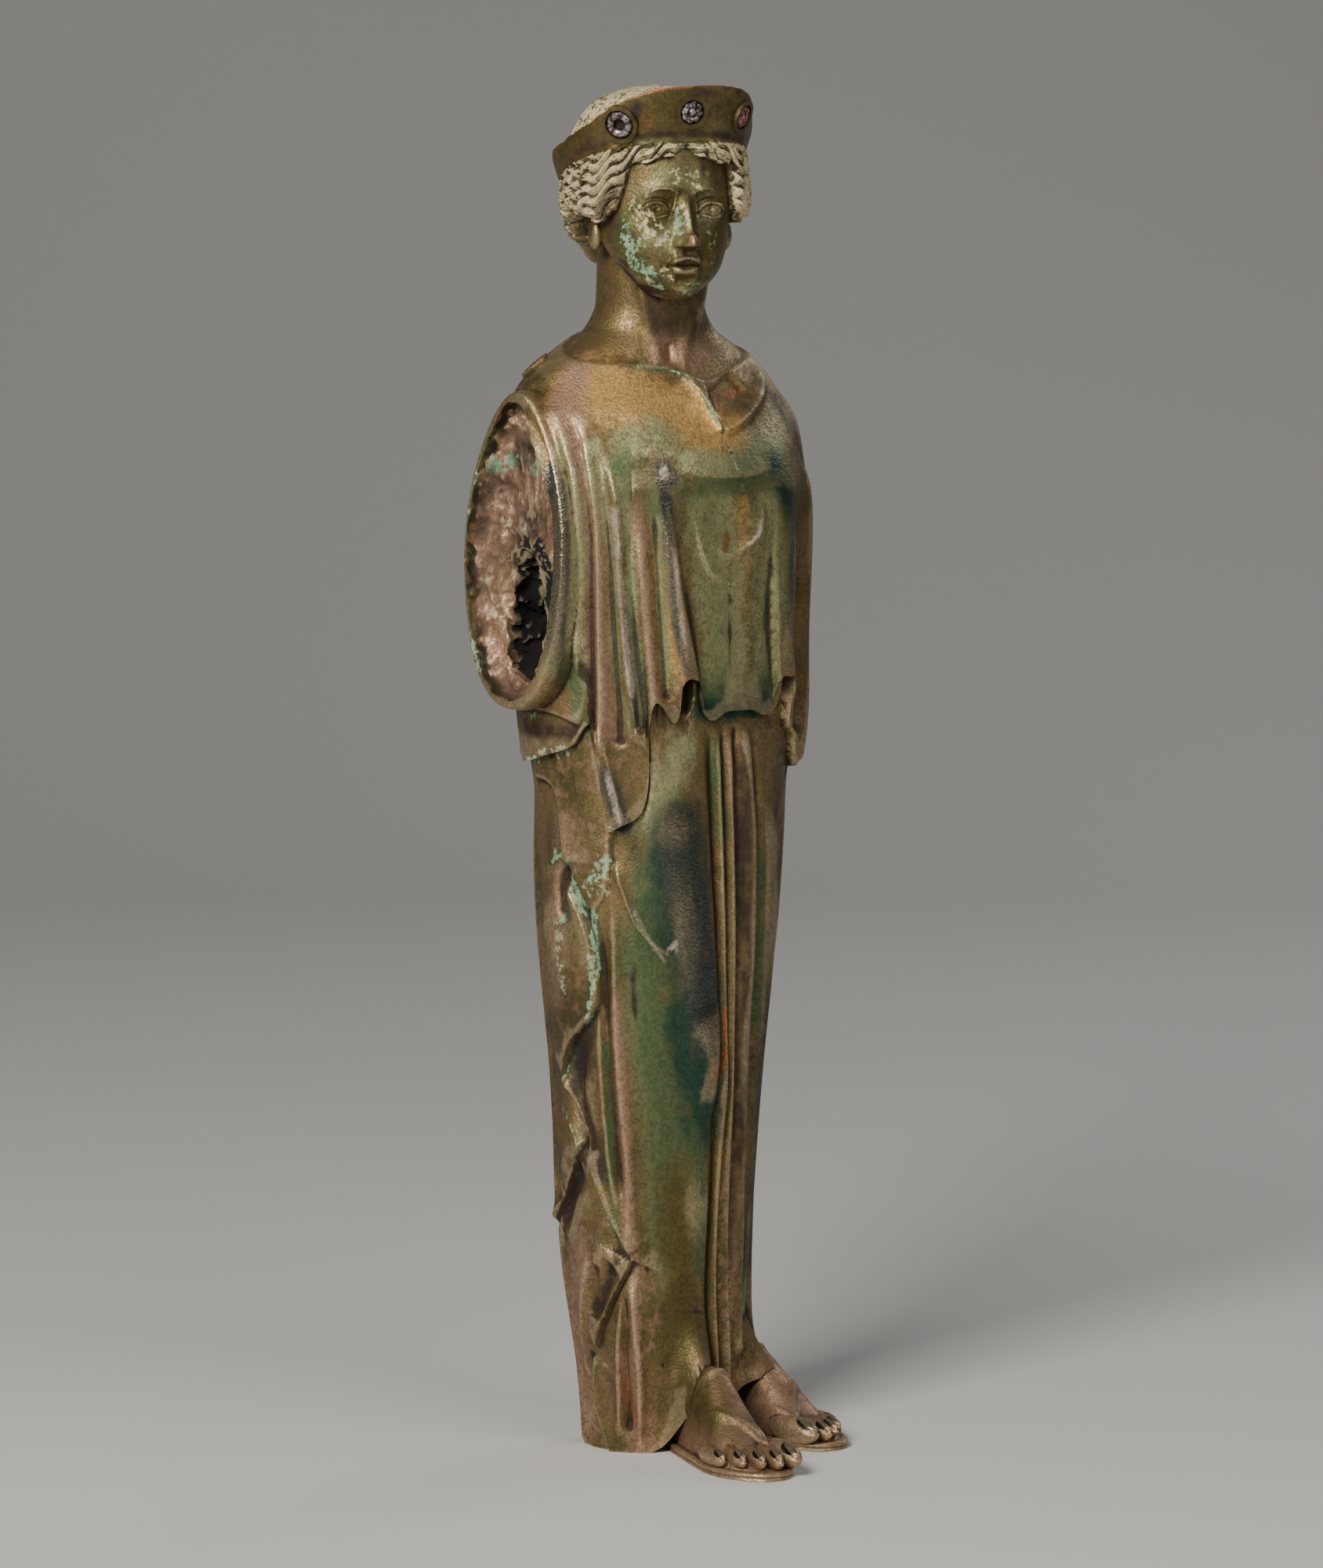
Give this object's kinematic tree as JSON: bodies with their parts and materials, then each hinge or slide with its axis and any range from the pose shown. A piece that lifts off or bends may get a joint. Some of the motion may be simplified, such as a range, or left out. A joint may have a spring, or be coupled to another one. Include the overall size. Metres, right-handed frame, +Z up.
{
  "type": "roman bronze goddess figure",
  "caption": "Standing bronze statuette of a goddess in a draped peplos and diadem, arms lost, with inlaid rosettes; stands on its flat underside.",
  "frame": {"origin": "on the ground under the middle of the figure's outline seen from above", "axes": "+Z up from the feet to the diadem, -Y the way the figure's body faces, +X toward the figure's own left"},
  "size_m": [0.0742, 0.0758, 0.2813],
  "materials": {
    "patinated_bronze": "cast bronze with a mottled green and brown patina, worn to satin on the high places",
    "silver_inlay": "tarnished silver",
    "copper_inlay": "tarnished pinkish copper"
  },
  "bodies": {
    "root": {"figure": "patinated_bronze", "diadem_rosette_centre": "silver_inlay", "diadem_rosette_left": "copper_inlay", "diadem_rosette_right": "silver_inlay", "right_shoulder_brooch": "copper_inlay", "left_shoulder_brooch": "copper_inlay"}
  },
  "joints": []
}
